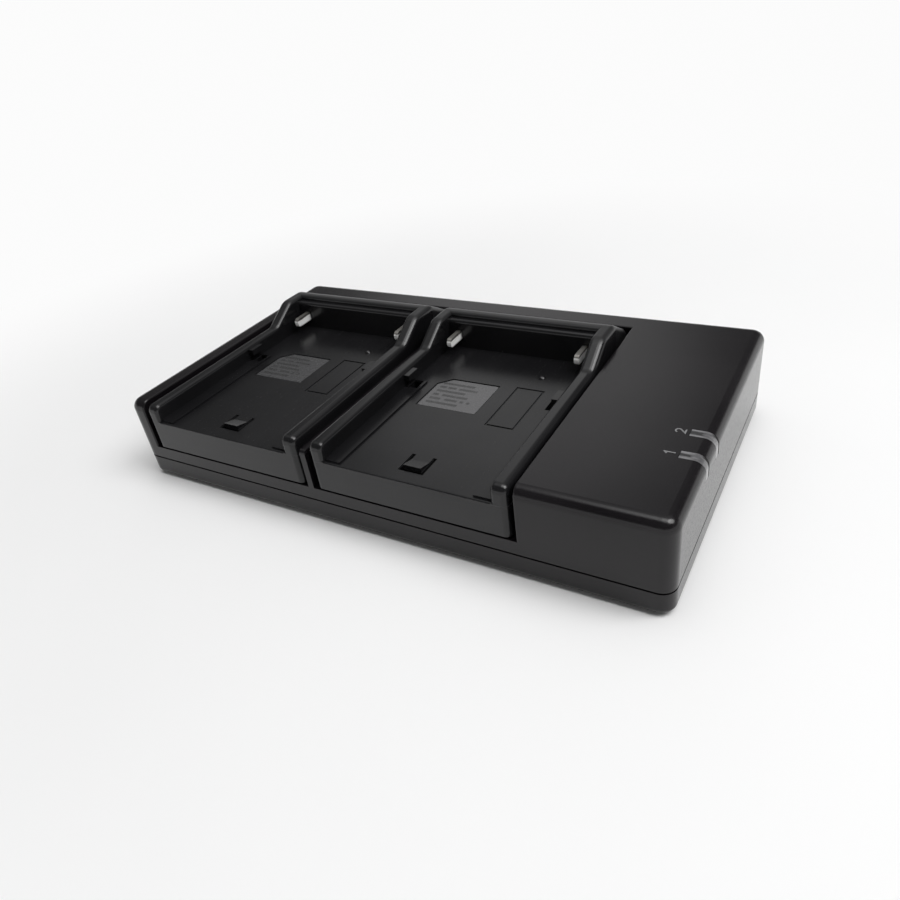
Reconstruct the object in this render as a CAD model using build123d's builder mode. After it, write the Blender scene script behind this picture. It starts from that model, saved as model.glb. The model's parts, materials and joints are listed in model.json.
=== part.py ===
from build123d import *
from math import copysign
import os

# A twin-bay battery charger: two moulded bay trays sit in a pocket of the top case, beside a block that
# holds the mains supply. X runs along the length towards the block, Y to the rear, Z up; the origin is
# under the middle of the case, at the level of the rubber feet.

# Bay trays, for a flat battery pack 38.4 mm wide that slides in from the front
bay_width = 39.4
rail_thickness = 3.6
rail_height = 4.1  # rail top above the bay floor
rail_length = 45.5  # level part of the rails, measured from the front
ramp_run = 7.5
hump_rise = 4.6  # hump above the rail tops
wall_setback = 3.0  # from the head of the ramps to the rear wall of the bay
ledge_depth = 1.8  # ledge along the top of the rear wall
ledge_drop = 1.2  # ledge below the hump
crest_depth = 2.6
rear_slope_run = 7.1
skirt_height = 8.0  # bay floor above the foot of the tray
tray_wall = 2.0
rail_nose_radius = 1.8
ramp_blend_radius = 4.0
tray_corner_radius = 1.4
rim_radius = 0.9
front_edge_radius = 0.4  # front edge of the bay floor
foot_line_height = 0.5  # dark line round the foot of each tray
foot_line_depth = 0.7

# Details of the bay floor, placed from the front and from the middle of the bay
strip_width = 3.9
strip_front = 0.8
strip_length = 36.0
strip_height = 0.4
label_size = (15.6, 13.2)
label_place = (-5.5, 33.6)
label_corner = 3.0
label_depth = 0.3
panel_size = (7.0, 17.0)
panel_place = (9.7, 32.5)
panel_line = 0.5
panel_depth = 0.3
dome_place = (10.0, 46.5)
dome_radius = 1.1
dome_sink = 0.5  # how far the middle of the dome lies under the floor
tongue_width = 4.2
tongue_length = 5.0
tongue_slot = 0.9
tongue_front = 3.4
catch_height = 0.8
catch_run = 3.2
lug_reach = 1.5
lug_length = 4.0
lug_height = 1.5
lug_lift = 1.9  # underside of the lug above the bay floor
lug_front = 33.0
core_hole_reach = 3.2

# Contacts
blade_inset = 2.65  # middle of the blade from the side of the bay
blade_thickness = 1.2
blade_height = 2.4
blade_reach = 5.4  # from the rear wall towards the battery
blade_lift = 2.2  # underside of the blade above the bay floor
blade_tail = 0.8  # behind the contact board
blade_nose_radius = 1.0
slot_clearance = 0.25
solder_clearance = 0.1
contact_board_thickness = 1.2
contact_board_height = 10.0
contact_board_play = 0.7
contact_board_top_gap = 0.3
board_rib_spacing = 24.0
board_rib_thickness = 1.4

# Case
left_wall = 5.3
block_length = 29.6
rear_strip = 7.4  # case behind the tray pocket
reveal = 1.1  # open groove round each tray
rib_thickness = 1.5  # rib between the trays
rib_height = 9.7
rib_nose_radius = 0.9
case_wall = 1.8
pocket_floor_thickness = 1.6
sill_height = 3.1  # case in front of and below the trays
base_height = 5.4
base_floor = 1.8
foot_stand = 0.6  # base above the surface
block_rise = 0.4  # block top above the rail tops
corner_radius = 3.0
top_edge_radius = 2.4
base_edge_radius = 1.2
pocket_edge_radius = 0.4
parting_line_height = 0.4
parting_line_depth = 0.5
lip_clearance = 0.15
lip_thickness = 1.2
lip_height = 1.3
lead_window = (12.0, 5.2)

# Feet and screws
foot_radius = 3.5
foot_thickness = 1.2
foot_inset = 11.0
foot_clearance = 0.1
foot_edge = 0.4
screw_clearance = 0.1
boss_radius = 2.8
boss_gap = 0.3  # lip top to boss foot
column_clearance = 0.1  # column of the base to the case walls beside it
case_screw_radius = 1.0
case_screw_head_radius = 2.0
case_screw_head = 1.1
case_screw_depth = 6.0  # thread length inside the boss
case_screw_inset = 6.5
head_recess = 0.1  # screw head above the underside of the base
block_screw_inset = (5.3, 6.0)
tray_screw_radius = 0.9
tray_screw_head_radius = 1.8
tray_screw_head = 1.2
tray_screw_depth = 4.5
tray_boss_radius = 2.3
tray_screw_places = ((-15.0, 14.0), (15.0, 47.0))
board_screw_radius = 1.0
board_screw_head_radius = 1.9
board_screw_head = 1.3
board_screw_depth = 3.0
board_post_radius = 2.4
drive_span = 2.2  # cross recess in the screw heads
drive_width = 0.6
drive_depth = 0.6

# Light pipes, which wrap over the right top edge of the block
pipe_places = (20.1, 27.7)  # from the front
pipe_width = 2.3
pipe_top_run = 5.1
pipe_side_run = 4.4
pipe_depth = 2.0
pipe_leg = 1.6
pipe_clearance = 0.1
led_gap = 0.4
led_size = (1.3, 2.0, 1.1)
led_edge = 0.3

# Main board in the block, with its parts in two groups: one from the inlet forwards, one from the front
board_thickness = 1.6
board_lift = 3.8  # underside above the base floor
board_left_gap = 0.2
board_edge_gap = 0.45
notch_gap = 0.6
part_gap = 0.6  # between neighbours on the board
inlet_width = 16.4
inlet_height = 10.2
inlet_depth = 14.0
inlet_gap = 0.2  # to the left wall of the block
inlet_recess = 11.0
inlet_recess_size = (14.8, 8.2)
inlet_edge_radius = 1.0
inlet_clearance = 0.15
pin_radius = 1.2
pin_spacing = 8.6
pin_setback = 2.0  # pin tip below the rear face
pin_tail = 1.0
pin_edge = 0.5
fuse_radius = 1.8
fuse_length = 9.5
fuse_cap = 2.2
fuse_step = 0.2
choke_radius = 4.0
choke_height = 9.0
choke_waist = 0.9
choke_flange = 1.4
bridge_size = (6.5, 5.0, 2.4)
bulk_radius = 4.4
bulk_length = 14.0
can_edge = 0.5
core_size = (10.6, 14.0, 5.0)
core_leg = 2.0
core_middle = 3.0
coil_height = 9.6
coil_gap = 0.3
coil_radius = 1.2
chip_size = (5.0, 6.2, 1.6)
chip_edge = 0.3
output_radius = 3.6
output_height = 9.0
inductor_size = (6.4, 6.4, 3.2)
inductor_corner = 1.4
lead_width = 2.6
lead_thickness = 1.1
lead_bend_radius = 1.6
lead_overlap = 8.0  # length of the right lead under the main board
lead_drop = 2.6  # how far the left lead drops below the main board
left_lead_start = 13.0
lead_rise = 6.0  # end of the lead above the pocket floor

# Levels
base_floor_z = foot_stand + base_floor
parting_z = foot_stand + base_height
pocket_z = parting_z + sill_height
pocket_under_z = pocket_z - pocket_floor_thickness
floor_z = pocket_z + skirt_height
rail_top = floor_z + rail_height
case_top = rail_top + block_rise
roof_z = case_top - case_wall
hump_top = rail_top + hump_rise
ledge_z = hump_top - ledge_drop
boss_foot_z = parting_z + lip_height + boss_gap
blade_z = floor_z + blade_lift + blade_height / 2
hump_roof_z = ledge_z - tray_wall
contact_board_z = hump_roof_z - contact_board_top_gap - contact_board_height / 2
board_z = base_floor_z + board_lift
board_top = board_z + board_thickness

# Lengths
tray_width = bay_width + 2 * rail_thickness
tray_depth = rail_length + ramp_run + wall_setback + ledge_depth + crest_depth + rear_slope_run
case_length = left_wall + 2 * tray_width + 4 * reveal + rib_thickness + block_length
case_width = tray_depth + reveal + rear_strip

# Places along Y
front_y = -case_width / 2
rear_y = case_width / 2
ramp_foot_y = front_y + rail_length
ramp_head_y = ramp_foot_y + ramp_run
wall_y = ramp_head_y + wall_setback
wall_back_y = wall_y + tray_wall
riser_y = wall_y + ledge_depth
crest_y = riser_y + crest_depth
tray_rear_y = crest_y + rear_slope_run
tray_mid_y = (front_y + tray_rear_y) / 2
pocket_rear_y = tray_rear_y + reveal
board_back_y = wall_back_y + contact_board_thickness
tongue_tip_y = front_y + tongue_front + tongue_slot
tongue_end_y = tongue_tip_y + tongue_length
lug_mid_y = front_y + lug_front + lug_length / 2
lead_y = board_back_y + lead_width / 2 + solder_clearance

# Places along X
left_x = -case_length / 2
right_x = case_length / 2
pocket_left_x = left_x + left_wall
left_tray_x = pocket_left_x + reveal + tray_width / 2
rib_x = left_tray_x + tray_width / 2 + reveal + rib_thickness / 2
right_tray_x = rib_x + rib_thickness / 2 + reveal + tray_width / 2
block_x = right_tray_x + tray_width / 2 + reveal
pocket_mid_x = (pocket_left_x + block_x) / 2
inlet_x = block_x + case_wall + inlet_gap + inlet_width / 2
inlet_z = board_top + inlet_height / 2
led_x = right_x - pipe_top_run + pipe_leg / 2
lip_inset = case_wall + lip_clearance
base_wall = lip_inset + lip_thickness
column_radius = rear_strip / 2 - case_wall - column_clearance
blade_spacing = bay_width - 2 * blade_inset

tray_places = {"left": left_tray_x, "right": right_tray_x}
pipe_names = dict(zip(("front", "rear"), pipe_places))
case_screw_points = (
    (left_x + case_screw_inset, rear_y - rear_strip / 2),
    (rib_x, rear_y - rear_strip / 2),
    (right_x - block_screw_inset[0], front_y + block_screw_inset[1]),
    (right_x - block_screw_inset[0], rear_y - block_screw_inset[1]),
)
tray_screw_points = [
    (tray_x + along, front_y + back) for tray_x in tray_places.values() for along, back in tray_screw_places
]
foot_points = [
    (side * (case_length / 2 - foot_inset), end * (case_width / 2 - foot_inset))
    for side in (-1, 1)
    for end in (-1, 1)
]

# Places on the main board: first the parts in front of the inlet, then those behind the front edge
board_left = block_x + case_wall + board_left_gap
board_right = right_x - base_wall - board_edge_gap
board_front_y = front_y + base_wall + board_edge_gap
board_rear_y = rear_y - base_wall - board_edge_gap
column_x = board_left + part_gap
inlet_back_y = rear_y - inlet_depth
fuse_x = column_x + fuse_radius
fuse_y = inlet_back_y - part_gap - fuse_length / 2
choke_x = fuse_x + fuse_radius + part_gap + choke_radius
choke_y = inlet_back_y - part_gap - choke_radius
bridge_x = board_right - part_gap - bridge_size[0] / 2
bridge_y = inlet_back_y - part_gap - bridge_size[1] / 2
bulk_x = board_right - part_gap - bulk_radius
bulk_y = choke_y - choke_radius - part_gap - bulk_length / 2
switching_chip_y = bulk_y - bulk_length / 2 - part_gap - chip_size[1] / 2
screw_x = column_x + board_screw_head_radius
rear_screw_y = fuse_y - fuse_length / 2 - part_gap - board_screw_head_radius
transformer_x = column_x + core_size[0] / 2
transformer_y = rear_screw_y - board_screw_head_radius - part_gap - core_size[1] / 2
front_screw_y = board_front_y + part_gap + board_screw_head_radius
output_x = column_x + output_radius
output_y = front_screw_y + board_screw_head_radius + part_gap + output_radius
inductor_x = output_x + output_radius + part_gap + inductor_size[0] / 2
inductor_y = board_front_y + part_gap + inductor_size[1] / 2
inductor_pitch = inductor_size[1] + part_gap
charge_chip_y = inductor_y + inductor_pitch + inductor_size[1] / 2 + part_gap + chip_size[1] / 2
board_screw_points = ((screw_x, front_screw_y), (screw_x, rear_screw_y))

os.makedirs("parts", exist_ok=True)


def write(piece, name):
    piece.part.label = name
    export_step(piece.part, f"parts/{name}.step")


# Base: a shallow pan with a lip that stands inside the case wall
with BuildPart() as base_cover:
    with BuildSketch(Plane.XY.offset(foot_stand)):
        RectangleRounded(case_length, case_width, corner_radius)
    extrude(amount=base_height)
    fillet(base_cover.faces().sort_by(Axis.Z)[0].edges(), base_edge_radius)
    with BuildSketch(Plane.XY.offset(base_floor_z)):
        RectangleRounded(case_length - 2 * base_wall, case_width - 2 * base_wall, corner_radius - lip_inset)
    extrude(amount=base_height, mode=Mode.SUBTRACT)
    with BuildSketch(Plane.XY.offset(parting_z)):
        RectangleRounded(case_length - 2 * lip_inset, case_width - 2 * lip_inset, corner_radius - case_wall)
        RectangleRounded(
            case_length - 2 * base_wall,
            case_width - 2 * base_wall,
            corner_radius - lip_inset,
            mode=Mode.SUBTRACT,
        )
    extrude(amount=lip_height)
    # dark line along the parting of base and case
    with BuildSketch(Plane.XY.offset(parting_z - parting_line_height)):
        RectangleRounded(case_length, case_width, corner_radius)
        RectangleRounded(
            case_length - 2 * parting_line_depth,
            case_width - 2 * parting_line_depth,
            corner_radius - parting_line_depth,
            mode=Mode.SUBTRACT,
        )
    extrude(amount=parting_line_height, mode=Mode.SUBTRACT)
    # columns under the case bosses, and posts under the main board
    with BuildSketch(Plane.XY.offset(base_floor_z)):
        with Locations(*case_screw_points):
            Circle(column_radius)
    extrude(amount=boss_foot_z - base_floor_z)
    with BuildSketch(Plane.XY.offset(base_floor_z)):
        with Locations(*board_screw_points):
            Circle(board_post_radius)
    extrude(amount=board_lift)
    # screw holes, head recesses and foot recesses
    with BuildSketch(Plane.XY.offset(foot_stand)):
        with Locations(*case_screw_points):
            Circle(case_screw_radius + screw_clearance)
    extrude(amount=boss_foot_z, mode=Mode.SUBTRACT)
    with BuildSketch(Plane.XY.offset(foot_stand)):
        with Locations(*case_screw_points):
            Circle(case_screw_head_radius + screw_clearance)
    extrude(amount=head_recess + case_screw_head, mode=Mode.SUBTRACT)
    with BuildSketch(Plane.XY.offset(board_z)):
        with Locations(*board_screw_points):
            Circle(board_screw_radius + screw_clearance)
    extrude(amount=-board_screw_depth - screw_clearance, mode=Mode.SUBTRACT)
    with BuildSketch(Plane.XY.offset(foot_stand)):
        with Locations(*foot_points):
            Circle(foot_radius + foot_clearance)
    extrude(amount=foot_thickness - foot_stand, mode=Mode.SUBTRACT)
write(base_cover, "base_cover")

# The space inside the case: all of it, less the tray pocket and the pocket's own walls
with BuildPart() as cavity:
    with BuildSketch(Plane.XY.offset(parting_z)):
        RectangleRounded(case_length - 2 * case_wall, case_width - 2 * case_wall, corner_radius - case_wall)
    extrude(amount=roof_z - parting_z)
    with BuildSketch(Plane.XY.offset(pocket_under_z)):
        with Locations((pocket_mid_x, (front_y + pocket_rear_y) / 2)):
            Rectangle(block_x - pocket_left_x + 2 * case_wall, pocket_rear_y - front_y + 2 * case_wall)
    extrude(amount=case_top, mode=Mode.SUBTRACT)

# Top case: block, left wall, sill and rear strip round a pocket that is open to the front
with BuildPart() as top_case:
    with BuildSketch(Plane.XY.offset(parting_z)):
        RectangleRounded(case_length, case_width, corner_radius)
    extrude(amount=case_top - parting_z)
    fillet(top_case.faces().sort_by(Axis.Z)[-1].edges(), top_edge_radius)
    with BuildSketch(Plane.XY.offset(pocket_z)):
        with Locations((pocket_mid_x, front_y)):
            Rectangle(block_x - pocket_left_x, 2 * (pocket_rear_y - front_y))
    extrude(amount=case_top, mode=Mode.SUBTRACT)
    pocket_edges = [
        edge
        for edge in top_case.edges().filter_by_position(Axis.Z, case_top - 0.01, case_top + 0.01)
        if pocket_left_x - 0.01 < edge.center().X < block_x + 0.01 and edge.center().Y < pocket_rear_y + 0.01
    ]
    fillet(pocket_edges, pocket_edge_radius)
    # rib between the trays, with a rounded nose
    with BuildSketch(Plane.YZ.offset(rib_x - rib_thickness / 2)):
        with BuildLine():
            FilletPolyline(
                (front_y, pocket_under_z),
                (front_y, pocket_z + rib_height),
                (pocket_rear_y, pocket_z + rib_height),
                (pocket_rear_y, pocket_under_z),
                radius=[0, rib_nose_radius, 0, 0],
                close=True,
            )
        make_face()
    extrude(amount=rib_thickness)
    add(cavity.part, mode=Mode.SUBTRACT)
    # bosses for the screws that hold the base
    with BuildSketch(Plane.XY.offset(boss_foot_z)):
        with Locations(*case_screw_points):
            Circle(boss_radius)
    extrude(amount=roof_z - boss_foot_z)
    with BuildSketch(Plane.XY.offset(boss_foot_z)):
        with Locations(*case_screw_points):
            Circle(case_screw_radius + screw_clearance)
    extrude(amount=case_screw_depth + screw_clearance, mode=Mode.SUBTRACT)
    # holes in the pocket floor: tray screws and leads
    with BuildSketch(Plane.XY.offset(pocket_under_z)):
        with Locations(*tray_screw_points):
            Circle(tray_screw_radius + screw_clearance)
        with Locations((left_tray_x, lead_y), (right_tray_x, lead_y)):
            Rectangle(*lead_window)
    extrude(amount=pocket_floor_thickness, mode=Mode.SUBTRACT)
    # opening for the power inlet in the rear wall of the block
    with BuildSketch(Plane.XZ.offset(-rear_y)):
        with Locations((inlet_x, inlet_z)):
            Rectangle(inlet_width + 2 * inlet_clearance, inlet_height + 2 * inlet_clearance)
    extrude(amount=case_wall, mode=Mode.SUBTRACT)
    # slots for the light pipes across the right top edge
    for pipe_place in pipe_places:
        with BuildSketch(Plane.XZ.offset(-front_y - pipe_place - pipe_width / 2 - pipe_clearance)):
            with Locations((right_x, case_top)):
                Rectangle(2 * (pipe_top_run + pipe_clearance), 2 * (pipe_side_run + pipe_clearance))
        extrude(amount=pipe_width + 2 * pipe_clearance, mode=Mode.SUBTRACT)
write(top_case, "top_case")

# Bay trays: two identical mouldings
for bay, tray_x in tray_places.items():
    with BuildPart() as tray:
        # rails, ramps and humped rear, as one side outline
        with BuildSketch(Plane.YZ.offset(tray_x - tray_width / 2)):
            with BuildLine():
                FilletPolyline(
                    (front_y, pocket_z),
                    (front_y, rail_top),
                    (ramp_foot_y, rail_top),
                    (ramp_head_y, hump_top),
                    (crest_y, hump_top),
                    (tray_rear_y, case_top),
                    (tray_rear_y, pocket_z),
                    radius=[0, rail_nose_radius, ramp_blend_radius, ramp_blend_radius, ramp_blend_radius, 0, 0],
                    close=True,
                )
            make_face()
        extrude(amount=tray_width)
        # rounded outer corners, from the foot of the front over the rails to the rear
        sides = tray.faces().filter_by(Axis.X)
        rear_edges = tray.faces().sort_by(Axis.Y)[-1].edges()
        foot_edges = tray.faces().sort_by(Axis.Z)[0].edges()
        fillet(sides.edges() - rear_edges - foot_edges, tray_corner_radius)
        # battery space, with a ledge along the top of its rear wall
        with BuildSketch(Plane.XY.offset(floor_z)):
            with Locations((tray_x, front_y)):
                Rectangle(bay_width, 2 * (wall_y - front_y))
        extrude(amount=hump_top, mode=Mode.SUBTRACT)
        with BuildSketch(Plane.XY.offset(ledge_z)):
            with Locations((tray_x, front_y)):
                Rectangle(bay_width, 2 * (riser_y - front_y))
        extrude(amount=hump_top, mode=Mode.SUBTRACT)
        # rounded inner edges of the rails and the hump, and of the ledge
        inner_sides = [
            face
            for face in tray.faces().filter_by(Axis.X)
            if abs(face.center().X - tray_x) < tray_width / 2 - tray_wall
        ]
        riser = [
            face
            for face in tray.faces().filter_by(Axis.Y)
            if abs(face.center().Y - riser_y) < ledge_depth / 2
        ]
        rim = [
            edge
            for edge in ShapeList(inner_sides + riser).edges()
            if edge.bounding_box().max.Z > rail_top - rail_nose_radius / 2
            and edge.bounding_box().size.Z < edge.length - ledge_drop / 2
            and abs(edge.center().Z - ledge_z) > ledge_drop / 4
        ]
        fillet(rim, rim_radius)
        ledge_front = tray.edges().filter_by(Axis.X).filter_by_position(Axis.Z, ledge_z - 0.01, ledge_z + 0.01)
        fillet(ledge_front.sort_by(Axis.Y)[0], rim_radius)
        # rounded front edge of the floor
        with BuildSketch(Plane.YZ.offset(tray_x - bay_width / 2)):
            with BuildLine():
                arc_middle = (front_y + front_edge_radius, floor_z - front_edge_radius)
                CenterArc(arc_middle, front_edge_radius, 90, 90)
                Polyline(
                    (front_y, floor_z - front_edge_radius),
                    (front_y, floor_z),
                    (front_y + front_edge_radius, floor_z),
                )
            make_face()
        extrude(amount=bay_width, mode=Mode.SUBTRACT)
        # hollow underside inside the skirt, and hollow hump behind the rear wall
        with BuildSketch(Plane.XY.offset(pocket_z)):
            with Locations((tray_x, (front_y + tray_wall + wall_y) / 2)):
                Rectangle(tray_width - 2 * tray_wall, wall_y - front_y - tray_wall)
        extrude(amount=skirt_height - tray_wall, mode=Mode.SUBTRACT)
        with BuildSketch(Plane.YZ.offset(tray_x - bay_width / 2)):
            with BuildLine():
                Polyline(
                    (wall_back_y, pocket_z),
                    (wall_back_y, hump_roof_z),
                    (crest_y, hump_roof_z),
                    (tray_rear_y - tray_wall, case_top - tray_wall),
                    (tray_rear_y - tray_wall, pocket_z),
                    close=True,
                )
            make_face()
        extrude(amount=bay_width, mode=Mode.SUBTRACT)
        with BuildSketch(Plane.XY.offset(pocket_z)):
            with Locations((tray_x, tray_mid_y)):
                Rectangle(tray_width, tray_depth)
                Rectangle(
                    tray_width - 2 * foot_line_depth,
                    tray_depth - 2 * foot_line_depth,
                    mode=Mode.SUBTRACT,
                )
        extrude(amount=foot_line_height, mode=Mode.SUBTRACT)
        # ribs that press the contact board against the rear wall, and screw bosses under the floor
        with BuildSketch(Plane.XY.offset(pocket_z)):
            with Locations((tray_x, (board_back_y + tray_rear_y - tray_wall) / 2)):
                with GridLocations(board_rib_spacing, 0, 2, 1):
                    Rectangle(board_rib_thickness, tray_rear_y - tray_wall - board_back_y)
        extrude(amount=case_top - tray_wall - pocket_z)
        with BuildSketch(Plane.XY.offset(pocket_z)):
            with Locations((tray_x, front_y)):
                with Locations(*tray_screw_places):
                    Circle(tray_boss_radius)
        extrude(amount=skirt_height - tray_wall)
        with BuildSketch(Plane.XY.offset(pocket_z)):
            with Locations((tray_x, front_y)):
                with Locations(*tray_screw_places):
                    Circle(tray_screw_radius + screw_clearance)
        extrude(amount=tray_screw_depth + screw_clearance, mode=Mode.SUBTRACT)
        # slide strips along both sides of the floor
        with BuildSketch(Plane.XY.offset(floor_z)):
            with Locations((tray_x, front_y + strip_front + strip_length / 2)):
                Rectangle(bay_width, strip_length)
                Rectangle(bay_width - 2 * strip_width, strip_length, mode=Mode.SUBTRACT)
        extrude(amount=strip_height)
        # retaining lugs on the rails, with the core holes that form their undersides
        with BuildSketch(Plane.XY.offset(floor_z + strip_height)):
            with Locations((tray_x, lug_mid_y)):
                with GridLocations(bay_width - core_hole_reach, 0, 2, 1):
                    Rectangle(core_hole_reach, lug_length)
        extrude(amount=-strip_height - tray_wall, mode=Mode.SUBTRACT)
        with BuildSketch(Plane.XY.offset(floor_z + lug_lift)):
            with Locations((tray_x, lug_mid_y)):
                with GridLocations(bay_width - lug_reach, 0, 2, 1):
                    Rectangle(lug_reach, lug_length)
        extrude(amount=lug_height)
        # sunk field for a label, with one corner cut off
        with BuildSketch(Plane.XY.offset(floor_z)) as label_field:
            with Locations((tray_x + label_place[0], front_y + label_place[1])):
                Rectangle(*label_size)
            chamfer(label_field.vertices().group_by(Axis.X)[0].sort_by(Axis.Y)[-1], label_corner)
        extrude(amount=-label_depth, mode=Mode.SUBTRACT)
        # fine outline of the mould insert beside it, and a small dome behind that
        with BuildSketch(Plane.XY.offset(floor_z)):
            with Locations((tray_x + panel_place[0], front_y + panel_place[1])):
                Rectangle(*panel_size)
                Rectangle(panel_size[0] - 2 * panel_line, panel_size[1] - 2 * panel_line, mode=Mode.SUBTRACT)
        extrude(amount=-panel_depth, mode=Mode.SUBTRACT)
        with Locations((tray_x + dome_place[0], front_y + dome_place[1], floor_z - dome_sink)):
            Sphere(dome_radius)
        # springy tongue cut free by a U-shaped slot, rising to a catch at its front end
        with BuildSketch(Plane.XY.offset(floor_z)):
            with Locations((tray_x, tongue_end_y - (tongue_length + tongue_slot) / 2)):
                Rectangle(tongue_width + 2 * tongue_slot, tongue_length + tongue_slot)
            with Locations((tray_x, tongue_end_y - tongue_length / 2)):
                Rectangle(tongue_width, tongue_length, mode=Mode.SUBTRACT)
        extrude(amount=-tray_wall, mode=Mode.SUBTRACT)
        with BuildSketch(Plane.YZ.offset(tray_x - tongue_width / 2)):
            with BuildLine():
                Polyline(
                    (tongue_tip_y, floor_z),
                    (tongue_tip_y, floor_z + catch_height),
                    (tongue_tip_y + catch_run, floor_z),
                    close=True,
                )
            make_face()
        extrude(amount=tongue_width)
        # slots for the contact blades
        with BuildSketch(Plane.XZ.offset(-wall_back_y)):
            with Locations((tray_x, blade_z)):
                with GridLocations(blade_spacing, 0, 2, 1):
                    Rectangle(blade_thickness + 2 * slot_clearance, blade_height + 2 * slot_clearance)
        extrude(amount=tray_wall, mode=Mode.SUBTRACT)
    write(tray, f"{bay}_bay_tray")

# Contact boards stand against the back of the bays' rear walls, and carry the blades
for bay, tray_x in tray_places.items():
    with BuildPart() as contact_board:
        with BuildSketch(Plane.XZ.offset(-board_back_y)):
            with Locations((tray_x, contact_board_z)):
                Rectangle(bay_width - 2 * contact_board_play, contact_board_height)
            with Locations((tray_x, blade_z)):
                with GridLocations(blade_spacing, 0, 2, 1):
                    Rectangle(
                        blade_thickness + 2 * solder_clearance,
                        blade_height + 2 * solder_clearance,
                        mode=Mode.SUBTRACT,
                    )
        extrude(amount=contact_board_thickness)
    write(contact_board, f"{bay}_contact_board")
    for side, sign in (("left", -1), ("right", 1)):
        with BuildPart() as blade:
            with BuildSketch(Plane.YZ.offset(tray_x + sign * blade_spacing / 2 - blade_thickness / 2)):
                with BuildLine():
                    FilletPolyline(
                        (wall_y - blade_reach, blade_z - blade_height / 2),
                        (wall_y - blade_reach, blade_z + blade_height / 2),
                        (board_back_y + blade_tail, blade_z + blade_height / 2),
                        (board_back_y + blade_tail, blade_z - blade_height / 2),
                        radius=[blade_nose_radius, blade_nose_radius, 0, 0],
                        close=True,
                    )
                make_face()
            extrude(amount=blade_thickness)
        write(blade, f"{bay}_bay_{side}_blade")

# Light pipes: a bar over the edge of the block, with a leg that reaches down to its LED
for pipe, pipe_place in pipe_names.items():
    with BuildPart() as light_pipe:
        with BuildSketch(Plane.XZ.offset(-front_y - pipe_place - pipe_width / 2)):
            with BuildLine():
                FilletPolyline(
                    (right_x - pipe_top_run, case_top),
                    (right_x, case_top),
                    (right_x, case_top - pipe_side_run),
                    (right_x - pipe_depth, case_top - pipe_side_run),
                    (right_x - pipe_depth, case_top - pipe_depth),
                    (right_x - pipe_top_run + pipe_leg, case_top - pipe_depth),
                    (right_x - pipe_top_run + pipe_leg, board_top + led_size[2] + led_gap),
                    (right_x - pipe_top_run, board_top + led_size[2] + led_gap),
                    radius=[0, top_edge_radius, 0, 0, 0, 0, 0, 0],
                    close=True,
                )
            make_face()
        extrude(amount=pipe_width)
    write(light_pipe, f"{pipe}_light_pipe")

# Main board, notched round the screw bosses of the block
with BuildPart() as main_board:
    with BuildSketch(Plane.XY.offset(board_z)):
        with Locations(((board_left + board_right) / 2, (board_front_y + board_rear_y) / 2)):
            Rectangle(board_right - board_left, board_rear_y - board_front_y)
        with Locations(*case_screw_points[2:]):
            Rectangle(2 * (boss_radius + notch_gap), 2 * (boss_radius + notch_gap), mode=Mode.SUBTRACT)
        with Locations(*board_screw_points):
            Circle(board_screw_radius + screw_clearance, mode=Mode.SUBTRACT)
    extrude(amount=board_thickness)
write(main_board, "main_board")

# Two-pin mains inlet, flush with the rear wall
with BuildPart() as power_inlet:
    with BuildSketch(Plane.XZ.offset(-rear_y)):
        with Locations((inlet_x, inlet_z)):
            RectangleRounded(inlet_width, inlet_height, inlet_edge_radius)
    extrude(amount=inlet_depth)
    with BuildSketch(Plane.XZ.offset(-rear_y)):
        with Locations((inlet_x, inlet_z)):
            with GridLocations(inlet_recess_size[0] - inlet_recess_size[1], 0, 2, 1):
                Circle(inlet_recess_size[1] / 2)
    extrude(amount=inlet_recess, mode=Mode.SUBTRACT)
    with BuildSketch(Plane.XZ.offset(-rear_y)):
        with Locations((inlet_x, inlet_z)):
            with GridLocations(pin_spacing, 0, 2, 1):
                Circle(pin_radius + solder_clearance)
    extrude(amount=inlet_depth, mode=Mode.SUBTRACT)
write(power_inlet, "power_inlet")

with BuildPart() as inlet_pins:
    with BuildSketch(Plane.XZ.offset(pin_setback - rear_y)):
        with Locations((inlet_x, inlet_z)):
            with GridLocations(pin_spacing, 0, 2, 1):
                Circle(pin_radius)
    extrude(amount=inlet_depth - pin_setback + pin_tail)
    chamfer(inlet_pins.faces().filter_by(Axis.Y).group_by(Axis.Y)[-1].edges(), pin_edge)
write(inlet_pins, "inlet_pins")

# Parts of the mains supply
with BuildPart() as fuse:
    with BuildSketch(Plane.XZ.offset(-fuse_y - fuse_length / 2)):
        with Locations((fuse_x, board_top + fuse_radius)):
            Circle(fuse_radius - fuse_step)
    extrude(amount=fuse_length)
    for cap_end in (fuse_length / 2, fuse_cap - fuse_length / 2):
        with BuildSketch(Plane.XZ.offset(-fuse_y - cap_end)):
            with Locations((fuse_x, board_top + fuse_radius)):
                Circle(fuse_radius)
        extrude(amount=fuse_cap)
write(fuse, "fuse")

with BuildPart() as line_choke:
    with BuildSketch(Plane.XY.offset(board_top)):
        with Locations((choke_x, choke_y)):
            Circle(choke_radius - choke_waist)
    extrude(amount=choke_height)
    for flange_z in (board_top, board_top + choke_height - choke_flange):
        with BuildSketch(Plane.XY.offset(flange_z)):
            with Locations((choke_x, choke_y)):
                Circle(choke_radius)
        extrude(amount=choke_flange)
write(line_choke, "line_choke")

with BuildPart() as bulk_capacitor:
    with BuildSketch(Plane.XZ.offset(-bulk_y - bulk_length / 2)):
        with Locations((bulk_x, board_top + bulk_radius)):
            Circle(bulk_radius)
    extrude(amount=bulk_length)
    chamfer(bulk_capacitor.edges().filter_by(GeomType.CIRCLE), can_edge)
write(bulk_capacitor, "bulk_capacitor")

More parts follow.
